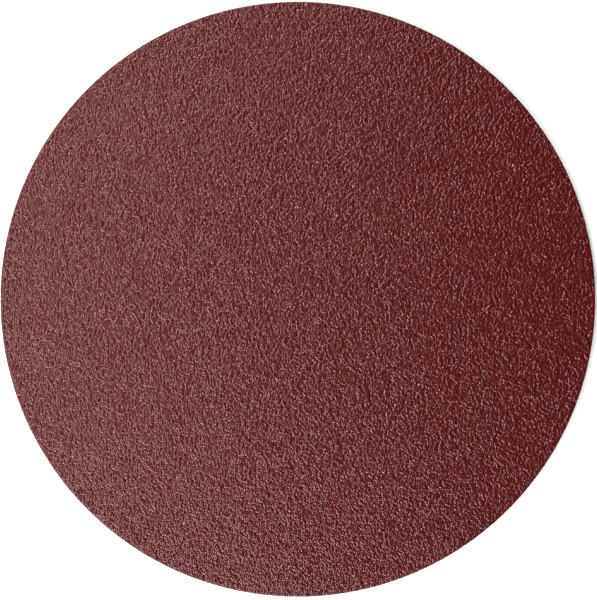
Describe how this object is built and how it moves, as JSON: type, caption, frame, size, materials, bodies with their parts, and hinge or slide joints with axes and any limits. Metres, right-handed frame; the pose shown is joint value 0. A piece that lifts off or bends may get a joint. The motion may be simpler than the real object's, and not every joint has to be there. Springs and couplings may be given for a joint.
{
  "type": "hook and loop sanding disc",
  "caption": "Flat round sanding disc without dust holes: coarse red grain in hard resin on heavy paper, with a knitted loop backing that grips a hook-faced pad.",
  "frame": {"origin": "centre of the loop face, on the plane of the loop tips that the disc lies on", "axes": "+Z along the disc's axis, out of the grain side; the rows of loops run along Y"},
  "size_m": [0.125, 0.125, 0.0018],
  "materials": {
    "grit": "rough crushed grain under glossy deep red resin",
    "paper": "matt, resin-sized, red-brown",
    "loop": "off-white knitted nylon loops"
  },
  "bodies": {
    "root": {"grit_coat": "grit", "backing_paper": "paper", "loop_fabric": "loop"}
  },
  "joints": []
}
